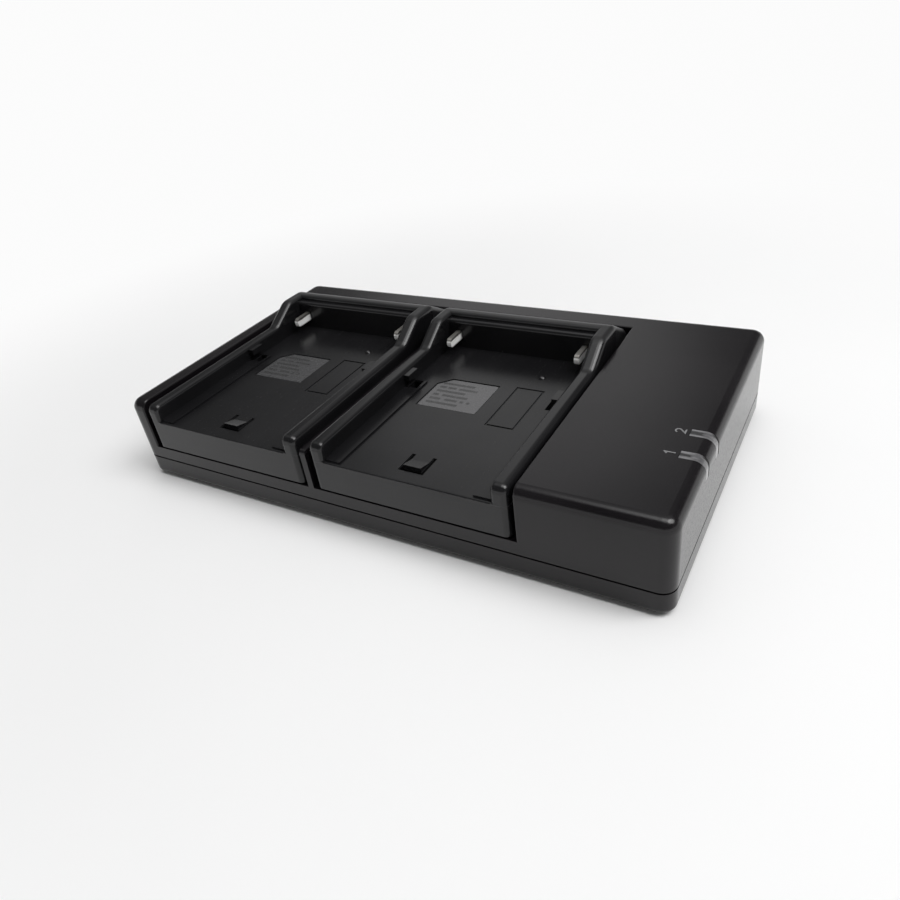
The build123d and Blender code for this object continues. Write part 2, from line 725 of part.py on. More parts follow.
with BuildPart() as output_capacitor:
    with BuildSketch(Plane.XY.offset(board_top)):
        with Locations((output_x, output_y)):
            Circle(output_radius)
    extrude(amount=output_height)
    chamfer(output_capacitor.edges().sort_by(Axis.Z)[-1], can_edge)
write(output_capacitor, "output_capacitor")

# Transformer: a frame core with a middle leg, and the coil that is wound on it
core_window = (core_size[0] - 2 * core_leg - core_middle) / 2
with BuildPart() as transformer_core:
    with BuildSketch(Plane.XY.offset(board_top + (coil_height - core_size[2]) / 2)):
        with Locations((transformer_x, transformer_y)):
            Rectangle(core_size[0], core_size[1])
            with GridLocations(core_middle + core_window, 0, 2, 1):
                Rectangle(core_window, core_size[1] - 2 * core_leg, mode=Mode.SUBTRACT)
    extrude(amount=core_size[2])
write(transformer_core, "transformer_core")

coil_length = core_size[1] - 2 * core_leg - 2 * coil_gap
with BuildPart() as transformer_coil:
    with BuildSketch(Plane.XZ.offset(-transformer_y - coil_length / 2)):
        with Locations((transformer_x, board_top + coil_height / 2)):
            RectangleRounded(core_size[0] - 2 * core_leg - 2 * coil_gap, coil_height, coil_radius)
            Rectangle(core_middle + 2 * coil_gap, core_size[2] + 2 * coil_gap, mode=Mode.SUBTRACT)
    extrude(amount=coil_length)
write(transformer_coil, "transformer_coil")


# Flat-backed parts with bevelled tops, some of them in pairs
def write_chips(name, places, size, edge):
    with BuildPart() as chips:
        with BuildSketch(Plane.XY.offset(board_top)):
            with Locations(*places):
                Rectangle(size[0], size[1])
        extrude(amount=size[2])
        chamfer(chips.faces().group_by(Axis.Z)[-1].edges(), edge)
    write(chips, name)


charge_chip_points = [(output_x, charge_chip_y), (inductor_x, charge_chip_y)]
led_points = [(led_x, front_y + place) for place in pipe_places]
write_chips("bridge_rectifier", [(bridge_x, bridge_y)], bridge_size, chip_edge)
write_chips("switching_chip", [(bulk_x, switching_chip_y)], chip_size, chip_edge)
write_chips("charge_chips", charge_chip_points, chip_size, chip_edge)
write_chips("indicator_leds", led_points, led_size, led_edge)

with BuildPart() as charge_inductors:
    with BuildSketch(Plane.XY.offset(board_top)):
        with Locations((inductor_x, inductor_y), (inductor_x, inductor_y + inductor_pitch)):
            RectangleRounded(inductor_size[0], inductor_size[1], inductor_corner)
    extrude(amount=inductor_size[2])
write(charge_inductors, "charge_inductors")

# Flat twin leads from the main board to the contact boards, under the pocket floor and up its windows
right_lead_z = board_z - lead_thickness / 2
left_lead_z = board_z - lead_drop
lead_end_z = pocket_z + lead_rise
lead_routes = {
    "left": (
        (block_x + left_lead_start, board_z),
        (block_x + left_lead_start, left_lead_z),
        (left_tray_x, left_lead_z),
        (left_tray_x, lead_end_z),
    ),
    "right": (
        (board_left + lead_overlap, right_lead_z),
        (right_tray_x, right_lead_z),
        (right_tray_x, lead_end_z),
    ),
}
for bay, points in lead_routes.items():
    with BuildPart() as leads:
        with BuildLine(Plane.XZ.offset(-lead_y)) as route:
            FilletPolyline(*points, radius=lead_bend_radius)
        with BuildSketch(Plane(origin=route.line @ 0, x_dir=(0, 1, 0), z_dir=route.line % 0)):
            Rectangle(lead_width, lead_thickness)
        sweep()
    write(leads, f"{bay}_bay_leads")


# Screws, each group in one go: a head on its seat, with a cross recess, and a shank
def write_screws(name, points, seat_z, head_radius, head_height, shank_radius, shank_length):
    with BuildPart() as screws:
        with BuildSketch(Plane.XY.offset(seat_z)):
            with Locations(*points):
                Circle(head_radius)
        extrude(amount=head_height)
        with BuildSketch(Plane.XY.offset(seat_z)):
            with Locations(*points):
                Circle(shank_radius)
        extrude(amount=shank_length)
        with BuildSketch(Plane.XY.offset(seat_z + head_height)):
            with Locations(*points):
                Rectangle(drive_span, drive_width)
                Rectangle(drive_width, drive_span)
        extrude(amount=-copysign(drive_depth, head_height), mode=Mode.SUBTRACT)
    write(screws, name)


case_seat_z = foot_stand + head_recess + case_screw_head
write_screws(
    "case_screws",
    case_screw_points,
    case_seat_z,
    case_screw_head_radius,
    -case_screw_head,
    case_screw_radius,
    boss_foot_z + case_screw_depth - case_seat_z,
)
write_screws(
    "tray_screws",
    tray_screw_points,
    pocket_under_z,
    tray_screw_head_radius,
    -tray_screw_head,
    tray_screw_radius,
    pocket_floor_thickness + tray_screw_depth,
)
write_screws(
    "board_screws",
    board_screw_points,
    board_top,
    board_screw_head_radius,
    board_screw_head,
    board_screw_radius,
    -board_thickness - board_screw_depth,
)

# Feet, set into the underside of the base
with BuildPart() as rubber_feet:
    with BuildSketch():
        with Locations(*foot_points):
            Circle(foot_radius)
    extrude(amount=foot_thickness)
    chamfer(rubber_feet.edges().group_by(Axis.Z)[0], foot_edge)
write(rubber_feet, "rubber_feet")
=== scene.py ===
import json
import math
import bpy
import numpy as np
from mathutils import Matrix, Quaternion, Vector


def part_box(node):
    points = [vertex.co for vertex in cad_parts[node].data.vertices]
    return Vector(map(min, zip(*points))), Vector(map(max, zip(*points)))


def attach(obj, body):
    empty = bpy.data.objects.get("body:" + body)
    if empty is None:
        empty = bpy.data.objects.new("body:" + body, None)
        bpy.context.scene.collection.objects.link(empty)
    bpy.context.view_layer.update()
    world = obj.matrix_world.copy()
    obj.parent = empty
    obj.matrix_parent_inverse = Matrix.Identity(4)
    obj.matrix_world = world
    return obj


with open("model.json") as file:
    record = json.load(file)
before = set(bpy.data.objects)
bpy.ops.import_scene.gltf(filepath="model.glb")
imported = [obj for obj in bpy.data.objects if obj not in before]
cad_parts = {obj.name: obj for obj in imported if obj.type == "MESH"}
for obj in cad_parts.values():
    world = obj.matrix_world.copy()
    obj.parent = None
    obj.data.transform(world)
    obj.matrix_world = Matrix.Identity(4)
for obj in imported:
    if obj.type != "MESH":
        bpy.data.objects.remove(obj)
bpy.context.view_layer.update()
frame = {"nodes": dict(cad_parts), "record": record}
nodes = frame["nodes"]
scene = bpy.context.scene
print("frame loaded:", len(nodes), "nodes")


# one shader socket; arithmetic on sockets adds Math nodes, every other node comes from node()
class Wire:
    def __init__(self, tree, socket=None):
        self.tree = tree
        self.socket = socket

    def node(self, kind, settings=None, inputs=None, out=0):
        made = self.tree.nodes.new(kind)
        for key, value in (settings or {}).items():
            setattr(made, key, value)
        for key, value in (inputs or {}).items():
            if isinstance(value, Wire):
                self.tree.links.new(value.socket, made.inputs[key])
            else:
                made.inputs[key].default_value = value
        return Wire(self.tree, made.outputs[out] if len(made.outputs) else None)

    def calc(self, operation, first, second=0.0):
        return self.node("ShaderNodeMath", {"operation": operation}, {0: first, 1: second})

    def __add__(self, other):
        return self.calc("ADD", self, other)

    def __radd__(self, other):
        return self.calc("ADD", other, self)

    def __sub__(self, other):
        return self.calc("SUBTRACT", self, other)

    def __rsub__(self, other):
        return self.calc("SUBTRACT", other, self)

    def __mul__(self, other):
        return self.calc("MULTIPLY", self, other)

    def __rmul__(self, other):
        return self.calc("MULTIPLY", other, self)

    def __truediv__(self, other):
        return self.calc("DIVIDE", self, other)

    def __abs__(self):
        return self.calc("ABSOLUTE", self)


def grey(level):
    return (level, level, level, 1.0)


def startMaterial(name):
    material = bpy.data.materials.new(name)
    material.use_nodes = True
    material.node_tree.nodes.clear()
    wire = Wire(material.node_tree)
    return material, wire, wire.node("ShaderNodeTexCoord", out="Object")


def axis(wire, place, letter):
    return wire.node("ShaderNodeSeparateXYZ", None, {"Vector": place}, out=letter)


def stretched(wire, place, scale):
    # coordinates drawn out along an axis, for brushed and rubbed marks
    return wire.node("ShaderNodeMapping", None, {"Vector": place, "Scale": scale})


def noise(wire, place, scale, detail=2.0, rough=0.5):
    return wire.node(
        "ShaderNodeTexNoise", None, {"Vector": place, "Scale": scale, "Detail": detail, "Roughness": rough}
    )


def step(wire, value, low, high):
    # 0 below low, 1 above high, smooth between
    return wire.node(
        "ShaderNodeMapRange",
        {"interpolation_type": "SMOOTHSTEP"},
        {"Value": value, "From Min": low, "From Max": high},
    )


def mixColour(wire, factor, first, second):
    return wire.node("ShaderNodeMix", {"data_type": "RGBA"}, {0: factor, 6: first, 7: second}, out=2)


def bump(wire, height, strength, distance):
    return wire.node("ShaderNodeBump", None, {"Height": height, "Strength": strength, "Distance": distance})


def finishMaterial(wire, inputs):
    shader = wire.node("ShaderNodeBsdfPrincipled", None, inputs)
    wire.node("ShaderNodeOutputMaterial", None, {"Surface": shader})


# spark-eroded satin black of the case, the same on base and top
caseFinish = {
    "dark": (0.0056, 0.0047, 0.0057, 1.0),
    "light": (0.0092, 0.0080, 0.0092, 1.0),
    "cloud": 38.0,  # slow changes of tone and gloss
    "toneEdge": (0.45, 0.80),
    "grain": 2600.0,  # about 0.4 mm
    "grainTone": 0.25,
    "grainDepth": 0.00002,
    "grainStrength": 0.5,
    "roughness": 0.16,
    "sparkle": 1900.0,  # about 0.5 mm
    "sparkleRough": 0.35,  # how much the roughness changes from speck to speck
    "cloudRough": 0.06,
    "gloss": 0.35,  # reflection seen head-on, 0.5 for the plain refractive index
}


def blackCase():
    look = caseFinish
    material, wire, place = startMaterial("satinCasePlastic")
    grain = noise(wire, place, look["grain"], detail=3.0, rough=0.6)
    cloud = noise(wire, place, look["cloud"], detail=3.0)
    sparkle = noise(wire, place, look["sparkle"], rough=0.6)
    tone = step(wire, cloud + look["grainTone"] * grain, *look["toneEdge"])
    rough = look["roughness"] + look["sparkleRough"] * (sparkle - 0.5) + look["cloudRough"] * (cloud - 0.5)
    finishMaterial(
        wire,
        {
            "Base Color": mixColour(wire, tone, look["dark"], look["light"]),
            "Roughness": rough,
            "Specular IOR Level": look["gloss"],
            "Normal": bump(wire, grain, look["grainStrength"], look["grainDepth"]),
        },
    )
    return material


# the trays come from a smoother mould; sliding packs have rubbed their floors a little, front to rear
trayFinish = {
    "dark": (0.0062, 0.0061, 0.0068, 1.0),
    "light": (0.0105, 0.0103, 0.0112, 1.0),
    "cloud": 55.0,
    "toneEdge": (0.40, 0.85),
    "rub": (2600.0, 40.0, 40.0),  # fine across the bay, long from front to rear
    "rubTone": 0.2,
    "grain": 3000.0,
    "grainDepth": 0.00002,
    "grainStrength": 0.22,
    "roughness": 0.25,
    "grainRough": 0.08,
    "rubRough": 0.06,
    "gloss": 0.42,
    "floorAboveFoot": 0.0080,
    "railFoot": (0.0004, 0.0016),  # above the floor
    "railGloss": 0.06,  # the rails are that much smoother than the floor
    "crestDull": 0.20,  # the crests of the humps, scuffed by handling, are that much rougher
    "crestAbove": (0.0076, 0.0084),  # above the floor
    "crestBehind": (0.0596, 0.0606),  # from the front; the slope behind the crest is as dull
    "sunkDull": 0.30,  # shallow marks in the floor are that much rougher
    "sunkTop": (-0.00008, -0.00002),
    "sunkFoot": (-0.0005, -0.0004),
    "frontFace": (0.0008, 0.0012),  # from the front; the front face itself isn't a mark
    "paintedGrooveLight": (0.030, 0.030, 0.031, 1.0),  # painted light: a lighter grey in the fine grooves of the floor, so they look less shaded
    "grooveLightShare": (0.4, 0.6),  # least, and what the clouds add
    "grooveDepth": 0.0003,
    "grooveHalf": (0.00005, 0.0001),
}
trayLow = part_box("left_bay_tray")[0]
bayFloor = trayLow.z + trayFinish["floorAboveFoot"]


def blackTray():
    look = trayFinish
    material, wire, place = startMaterial("satinTrayPlastic")
    grain = noise(wire, place, look["grain"], rough=0.6)
    cloud = noise(wire, place, look["cloud"], detail=3.0)
    rubbed = noise(wire, stretched(wire, place, look["rub"]), 1.0)
    aboveFloor = axis(wire, place, "Z") - bayFloor
    fromFront = axis(wire, place, "Y") - trayLow.y
    onRails = step(wire, aboveFloor, *look["railFoot"])
    onTop = step(wire, aboveFloor, *look["crestAbove"])
    onCrest = wire.calc("MAXIMUM", onTop, step(wire, fromFront, *look["crestBehind"]))
    # the fine floor grooves, where a lighter grey is painted as light to soften their shade
    groove = 1 - step(wire, abs(aboveFloor + look["grooveDepth"]), *look["grooveHalf"])
    sunk = (1 - step(wire, aboveFloor, *look["sunkTop"])) * step(wire, aboveFloor, *look["sunkFoot"])
    sunk = sunk * step(wire, fromFront, *look["frontFace"])
    tone = step(wire, cloud + look["rubTone"] * rubbed, *look["toneEdge"])
    plastic = mixColour(wire, tone, look["dark"], look["light"])
    leastGrooveLight, moreGrooveLight = look["grooveLightShare"]
    rough = look["roughness"] + look["grainRough"] * (grain - 0.5) + look["rubRough"] * (rubbed - 0.5)
    rough = rough - look["railGloss"] * onRails + look["sunkDull"] * sunk + look["crestDull"] * onCrest
    finishMaterial(
        wire,
        {
            "Base Color": mixColour(wire, groove * (leastGrooveLight + moreGrooveLight * cloud), plastic, look["paintedGrooveLight"]),
            "Roughness": rough,
            "Specular IOR Level": look["gloss"],
            "Normal": bump(wire, grain, look["grainStrength"], look["grainDepth"]),
        },
    )
    return material


# contact blades: along the sides a stripe rubbed bright by the packs, its near-white partly a painted sheen;
# the plate above and below it is a dark grey painted as shade
bladeFinish = {
    # near-white stripe, partly a painted sheen of the rubbed plate
    "bright": (0.97, 0.965, 0.95, 1.0),
    # dark grey painted on the plate above and below the stripe as shade
    "paintedShadePlate": (0.30, 0.29, 0.27, 1.0),
    "stripe": (0.14, 0.72),  # shares of the blade's height
    "soft": 0.10,
    "metal": (0.95, 0.08),  # painted-shade plate, bright stripe
    "brush": (9000.0, 900.0, 9000.0),
    "brushDepth": 0.00001,
    "brushStrength": 0.1,
    "spots": 900.0,
    "ragged": 0.12,  # how far the spots carry the edges of the stripe
    "roughness": 0.36,
    "brushRough": 0.14,
    "spotRough": 0.08,
}
bladeFoot, bladeTop = (corner.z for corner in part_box("left_bay_left_blade"))


def brightNickel():
    look = bladeFinish
    material, wire, place = startMaterial("nickelPlate")
    brushed = noise(wire, stretched(wire, place, look["brush"]), 1.0)
    spots = noise(wire, place, look["spots"])
    up = (axis(wire, place, "Z") - bladeFoot) / (bladeTop - bladeFoot) + look["ragged"] * (spots - 0.5)
    start, end = look["stripe"]
    stripe = step(wire, up, start - look["soft"], start) * (1 - step(wire, up, end, end + look["soft"]))
    shadePlateMetal, brightMetal = look["metal"]
    finishMaterial(
        wire,
        {
            "Base Color": mixColour(wire, stripe, look["paintedShadePlate"], look["bright"]),
            "Metallic": shadePlateMetal + (brightMetal - shadePlateMetal) * stripe,
            "Roughness": look["roughness"] + look["brushRough"] * brushed + look["spotRough"] * spots,
            "Normal": bump(wire, brushed, look["brushStrength"], look["brushDepth"]),
        },
    )
    return material


# screws and inlet pins
steelFinish = {
    "light": (0.52, 0.52, 0.50, 1.0),
    "dark": (0.36, 0.36, 0.35, 1.0),
    "speck": 1800.0,
    "toneEdge": (0.4, 0.7),
    "roughness": 0.26,
    "speckRough": 0.16,
}


def platedSteel():
    look = steelFinish
    material, wire, place = startMaterial("zincPlate")
    speck = noise(wire, place, look["speck"], detail=3.0)
    finishMaterial(
        wire,
        {
            "Base Color": mixColour(wire, step(wire, speck, *look["toneEdge"]), look["light"], look["dark"]),
            "Metallic": 1.0,
            "Roughness": look["roughness"] + look["speckRough"] * speck,
        },
    )
    return material


# clear bars: over the leg a dark core is painted for the dark inside of the case seen through the bar,
# between two pale edges painted as glints; from there to the bend the bar is a plain milky grey with pale
# streaks painted as glints, and its rear edge lies in the painted shadow of the slot
pipeFinish = {
    # dark core painted for the dark inside of the case seen through the bar
    "core": (0.016, 0.016, 0.017, 1.0),
    "milky": (0.085, 0.084, 0.088, 1.0),
    # pale grey painted as glints along the edges and in streaks at the bend
    "edge": (0.190, 0.188, 0.194, 1.0),
    "shadow": (0.008, 0.008, 0.008, 1.0),
    "streak": (420.0, 2000.0, 420.0),
    "blotch": 900.0,
    "coreShare": (0.25, 0.70),  # of the half width, where the core turns pale
    "coreRun": (0.30, 0.62),  # of the run over the top, where the core ends
    "sideRagged": 0.7,  # how far the streaks carry the sides of the core
    "endRagged": 0.5,  # and the blotches its end
    "milkyEdge": (0.5, 1.0),
    "blotchTone": 0.4,
    "shadowShare": (0.40, 0.62),
    "shadowRun": (0.62, 0.86),
    "roughness": 0.14,
    "streakRough": 0.16,
    "shadowRough": 0.65,
    "coat": 0.5,
    "refraction": 1.49,
}
pipeBoxes = {number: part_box(f"{name}_light_pipe") for number, name in ((1, "front"), (2, "rear"))}
pipeMiddles = {number: (low.y + high.y) / 2 for number, (low, high) in pipeBoxes.items()}
pipeHalf = (pipeBoxes[1][1].y - pipeBoxes[1][0].y) / 2
pipeInner, pipeOuter = (corner.x for corner in pipeBoxes[1])


def clearPipe():
    look = pipeFinish
    material, wire, place = startMaterial("clearLightPipe")
    across = axis(wire, place, "Y")
    between = (pipeMiddles[1] + pipeMiddles[2]) / 2
    onRear = step(wire, across, between, between + 1e-6)
    offMiddle = (across - pipeMiddles[1] - (pipeMiddles[2] - pipeMiddles[1]) * onRear) / pipeHalf
    along = (axis(wire, place, "X") - pipeInner) / (pipeOuter - pipeInner)
    streak = noise(wire, stretched(wire, place, look["streak"]), 1.0, detail=3.0)
    blotch = noise(wire, place, look["blotch"])
    overLeg = 1 - step(wire, along + look["endRagged"] * (blotch - 0.5), *look["coreRun"])
    pale = step(wire, abs(offMiddle) + look["sideRagged"] * (streak - 0.5), *look["coreShare"])
    leg = mixColour(wire, pale, look["core"], look["edge"])
    cloudy = step(wire, streak + look["blotchTone"] * blotch, *look["milkyEdge"])
    bend = mixColour(wire, cloudy, look["milky"], look["edge"])
    shaded = step(wire, offMiddle, *look["shadowShare"]) * step(wire, along, *look["shadowRun"])
    finishMaterial(
        wire,
        {
            "Base Color": mixColour(wire, shaded, mixColour(wire, overLeg, bend, leg), look["shadow"]),
            "Roughness": look["roughness"] + look["streakRough"] * streak + look["shadowRough"] * shaded,
            "IOR": look["refraction"],
            "Coat Weight": look["coat"] * (1 - shaded),
        },
    )
    return material


# green solder mask with wandering tracks under it
boardFinish = {
    "mask": (0.008, 0.055, 0.022, 1.0),
    "track": (0.018, 0.105, 0.040, 1.0),
    "lines": (("X", 190.0), ("Y", 150.0)),
    "wander": 3.5,
    "trackEdge": (0.86, 0.90),
    "trackDepth": 0.00004,
    "trackStrength": 0.3,
    "roughness": 0.38,
    "trackGloss": 0.08,
}


def circuitBoard():
    look = boardFinish
    material, wire, place = startMaterial("solderMask")
    lines = [
        wire.node(
            "ShaderNodeTexWave",
            {"bands_direction": direction},
            {"Vector": place, "Scale": scale, "Distortion": look["wander"]},
            out="Fac",
        )
        for direction, scale in look["lines"]
    ]
    track = step(wire, wire.calc("MAXIMUM", *lines), *look["trackEdge"])
    finishMaterial(
        wire,
        {
            "Base Color": mixColour(wire, track, look["mask"], look["track"]),
            "Roughness": look["roughness"] - look["trackGloss"] * track,
            "Normal": bump(wire, track, look["trackStrength"], look["trackDepth"]),
        },
    )
    return material


# moulded, wound or pressed inner parts: two tones in fine specks
speckFinish = {
    "toneEdge": (0.35, 0.70),
    "speckRough": 0.15,
    "speckDepth": 0.00003,
    "speckStrength": 0.2,
}


def speckled(name, dark, light, scale, roughness):
    look = speckFinish
    material, wire, place = startMaterial(name)
    speck = noise(wire, place, scale, detail=3.0, rough=0.6)
    finishMaterial(
        wire,
        {
            "Base Color": mixColour(wire, step(wire, speck, *look["toneEdge"]), dark, light),
            "Roughness": roughness + look["speckRough"] * (speck - 0.5),
            "Normal": bump(wire, speck, look["speckStrength"], look["speckDepth"]),
        },
    )
    return material


# one finish for each material slot of the part
finishes = {
    "case": blackCase(),
    "tray": blackTray(),
    "contact_metal": brightNickel(),
    "clear_plastic": clearPipe(),
    "circuit_board": circuitBoard(),
    "plated_steel": platedSteel(),
    "inlet_plastic": speckled("inletPlastic", grey(0.013), grey(0.020), 2600.0, 0.40),
    "fuse_glass": speckled("fuseGlass", (0.60, 0.63, 0.61, 1.0), (0.74, 0.76, 0.74, 1.0), 700.0, 0.16),
    "chip_plastic": speckled("chipPlastic", grey(0.012), grey(0.020), 5200.0, 0.62),
    "capacitor_sleeve": speckled(
        "capacitorSleeve", (0.010, 0.014, 0.050, 1.0), (0.016, 0.022, 0.075, 1.0), 900.0, 0.30
    ),
    "ferrite": speckled("ferrite", grey(0.035), grey(0.060), 3600.0, 0.55),
    "copper_winding": speckled(
        "windingTape", (0.62, 0.42, 0.06, 1.0), (0.72, 0.50, 0.09, 1.0), 1100.0, 0.40
    ),
    "led_plastic": speckled("ledLens", (0.72, 0.70, 0.55, 1.0), (0.80, 0.78, 0.64, 1.0), 2400.0, 0.25),
    "lead_insulation": speckled(
        "leadInsulation", (0.30, 0.015, 0.012, 1.0), (0.36, 0.022, 0.018, 1.0), 1500.0, 0.45
    ),
    "foot_rubber": speckled("footRubber", grey(0.020), grey(0.034), 3200.0, 0.75),
}
for part in frame["record"]["subparts"]:
    for holder in nodes[part["node"]].material_slots:
        holder.material = finishes[part["material_slot"]]
print("finishes set:", len(finishes))


def skinRings(name, rings, material):
    # closed skin over a stack of closed rings, an array of (ring, point, xyz); the ends close on their
    # middle points
    count, around = rings.shape[:2]
    verts = np.concatenate((rings.reshape(-1, 3), rings[[0, -1]].mean(axis=1)))
    here = np.arange(around)
    after = (here + 1) % around
    row = np.arange(count - 1)[:, None] * around
    sides = np.stack((row + here, row + after, row + around + after, row + around + here), axis=-1)
    top = (count - 1) * around
    startCap = np.stack((after, here, np.full(around, count * around)), axis=-1)
    endCap = np.stack((top + here, top + after, np.full(around, count * around + 1)), axis=-1)
    mesh = bpy.data.meshes.new(name)
    faces = sides.reshape(-1, 4).tolist() + startCap.tolist() + endCap.tolist()
    mesh.from_pydata(verts.tolist(), [], faces)
    mesh.materials.append(material)
    piece = bpy.data.objects.new(name, mesh)
    scene.collection.objects.link(piece)
    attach(piece, "root")


# printed film in the sunk field of each bay, with one corner cut off
labelPad = {
    "size": (0.0150, 0.0126),
    "place": (-0.0055, 0.0336),  # from the middle of the bay and from the front
    "cut": 0.0029,
    "corner": 0.0004,
    "cornerPoints": 7,
    "under": 0.0003,  # the film lies that far below the bay floor
    "thickness": 0.00018,
    "bevel": 0.00005,
    "film": {
        "left": (0.058, 0.058, 0.060, 1.0),  # darker than the right one
        "right": (0.095, 0.094, 0.097, 1.0),
    },
    "print": (0.036, 0.036, 0.037, 1.0),
    "rows": 6,
    "margin": 0.0011,
    "barFoot": (0.16, 0.32),  # of the row's height
    "barHead": (0.66, 0.82),
    "barLength": (0.55, 0.30),  # of the row's length: least, and the most that is added
    "barSoft": 0.02,
    "wordScale": (9.0, 3.7),  # along a row, and from row to row
    "wordEdge": (0.28, 0.36),
    "worn": 700.0,
    "wornEdge": (0.20, 0.42),
    "wornDepth": 0.00002,
    "wornStrength": 0.08,
    "roughness": 0.22,
    "wornRough": 0.10,
}


def padOutline(inset):
    # rectangle with the rear left corner cut off, walked anticlockwise; at each corner an arc turns from
    # the normal of the side before to that of the side after, about the point where both sides are inset
    halfX, halfY = (side / 2 - inset for side in labelPad["size"])
    cut = labelPad["cut"] - inset * (2 - math.sqrt(2))
    corners = np.array(
        ((-halfX, -halfY), (halfX, -halfY), (halfX, halfY), (-halfX + cut, halfY), (-halfX, halfY - cut))
    )
    sides = corners - np.roll(corners, 1, axis=0)
    normals = np.stack((sides[:, 1], -sides[:, 0]), axis=1) / np.linalg.norm(sides, axis=1, keepdims=True)
    after = np.roll(normals, -1, axis=0)
    across = normals[:, 0] * after[:, 1] - normals[:, 1] * after[:, 0]
    inLine = (normals * after).sum(axis=1)
    radius = labelPad["corner"] - inset
    middles = corners - radius * (normals + after) / (1 + inLine)[:, None]
    start = np.arctan2(normals[:, 1], normals[:, 0])
    share = np.linspace(0.0, 1.0, labelPad["cornerPoints"])
    angles = start[:, None] + np.arctan2(across, inLine)[:, None] * share
    arcs = middles[:, None] + radius * np.stack((np.cos(angles), np.sin(angles)), axis=-1)
    return arcs.reshape(-1, 2)


def labelFilm(film, middleX, middleY):
    # rows of plain bars of uneven length, darker than the film, each broken up into words; the lengths step
    # by the golden share, so no two rows in turn are alike
    look = labelPad
    material, wire, place = startMaterial("labelFilm")
    width, depth = (side - 2 * look["margin"] for side in look["size"])
    u = (axis(wire, place, "X") - (middleX - width / 2)) / width
    v = (axis(wire, place, "Y") - (middleY - depth / 2)) / depth
    row = wire.calc("FLOOR", v * look["rows"])
    inRow = v * look["rows"] - row
    least, added = look["barLength"]
    length = least + added * wire.calc("FRACT", row * 0.618 + 0.3)
    alongRow, fromRow = look["wordScale"]
    wordPlace = wire.node("ShaderNodeCombineXYZ", None, {"X": u * alongRow, "Y": row * fromRow})
    words = noise(wire, wordPlace, 1.0, detail=0.0)
    soft = look["barSoft"]
    inside = step(wire, u, 0.0, soft) * (1 - step(wire, u, length, length + soft))
    inside = inside * step(wire, v, 0.0, soft) * (1 - step(wire, v, 1 - soft, 1.0))
    bar = step(wire, inRow, *look["barFoot"]) * (1 - step(wire, inRow, *look["barHead"])) * inside
    worn = noise(wire, place, look["worn"], detail=3.0)
    printed = bar * step(wire, words, *look["wordEdge"]) * step(wire, worn, *look["wornEdge"])
    finishMaterial(
        wire,
        {
            "Base Color": mixColour(wire, printed, film, look["print"]),
            "Roughness": look["roughness"] + look["wornRough"] * worn,
            "Normal": bump(wire, worn, look["wornStrength"], look["wornDepth"]),
        },
    )
    return material


filmLevels = np.array((0.0, labelPad["thickness"] - labelPad["bevel"], labelPad["thickness"]))
filmInsets = (0.0, 0.0, labelPad["bevel"])
for side in ("left", "right"):
    low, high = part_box(f"{side}_bay_tray")
    middle = ((low.x + high.x) / 2 + labelPad["place"][0], low.y + labelPad["place"][1])
    outlines = np.stack([padOutline(inset) for inset in filmInsets]) + middle
    levels = np.broadcast_to(
        (bayFloor - labelPad["under"] + filmLevels)[:, None, None], outlines.shape[:2] + (1,)
    )
    film = labelFilm(labelPad["film"][side], *middle)
    skinRings(f"{side}_bay_label", np.concatenate((outlines, levels), axis=2), film)
print("label films made")


# plain numbers beside the light pipes: 1 for the front one, 2 for the rear one
numeral = {
    "height": 0.0020,
    "stroke": 0.00030,
    "thickness": 0.00002,
    "gap": 0.0008,  # from the inner end of the pipe
    "ink": ((0.17, 0.17, 0.175, 1.0), (0.23, 0.23, 0.235, 1.0)),  # its two tones
    "speck": 2600.0,
    "roughness": 0.5,
}


def numeralPath(number):
    # in shares of the height; one: a short flag, then the stem; two: an arc of the bowl, the slant, then
    # the foot
    if number == 1:
        points = np.array(((-0.20, 0.76), (0.06, 1.0), (0.06, 0.0)))
    else:
        angle = np.radians(np.linspace(165.0, -35.0, 13))
        bowl = np.stack((0.29 * np.cos(angle), 0.71 + 0.29 * np.sin(angle)), axis=1)
        points = np.concatenate((bowl, ((-0.29, 0.05), (0.33, 0.05))))
    return points[:, ::-1] * (-numeral["height"], numeral["height"])  # turned to read towards the rear


def strokeRings(points, level):
    # flat rectangle carried along the path; at a bend it leans half way between both runs and widens so
    # that the stroke keeps its width
    runs = np.diff(points, axis=0)
    runs = runs / np.linalg.norm(runs, axis=1, keepdims=True)
    normals = np.stack((-runs[:, 1], runs[:, 0]), axis=1)
    before = np.concatenate((normals[:1], normals))
    after = np.concatenate((normals, normals[-1:]))
    lean = (before + after) / (1 + (before * after).sum(axis=1, keepdims=True))
    side = np.array((0.5, 0.5, -0.5, -0.5)) * numeral["stroke"]
    rise = np.array((0.0, 1.0, 1.0, 0.0)) * numeral["thickness"] + level
    flat = points[:, None] + side[:, None] * lean[:, None]
    return np.concatenate((flat, np.broadcast_to(rise[:, None], flat.shape[:2] + (1,))), axis=2)


inkMaterial = speckled("printInk", *numeral["ink"], numeral["speck"], numeral["roughness"])
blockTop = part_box("top_case")[1].z
for number in pipeBoxes:
    place = (pipeBoxes[number][0].x - numeral["gap"], pipeMiddles[number])
    skinRings(f"numeral_{number}", strokeRings(numeralPath(number) + place, blockTop), inkMaterial)
print("numerals made")

# the photograph's view
camera = {
    "eye": (0.08791, -0.12960, 0.10121),
    "forward": (-0.46765, 0.68887, -0.55386),
    "roll": math.radians(-8.628),
    "lens": 29.301,
    "sensor": 36.0,
    "clipStart": 0.005,
}
lensData = bpy.data.cameras.new("camera")
lensData.sensor_width = camera["sensor"]
lensData.lens = camera["lens"]
lensData.clip_start = camera["clipStart"]
view = bpy.data.objects.new("camera", lensData)
view.location = camera["eye"]
view.rotation_mode = "QUATERNION"
level = Vector(camera["forward"]).to_track_quat("-Z", "Y")
view.rotation_quaternion = level @ Quaternion((0, 0, 1), camera["roll"])
scene.collection.objects.link(view)
scene.camera = view
print("camera set")

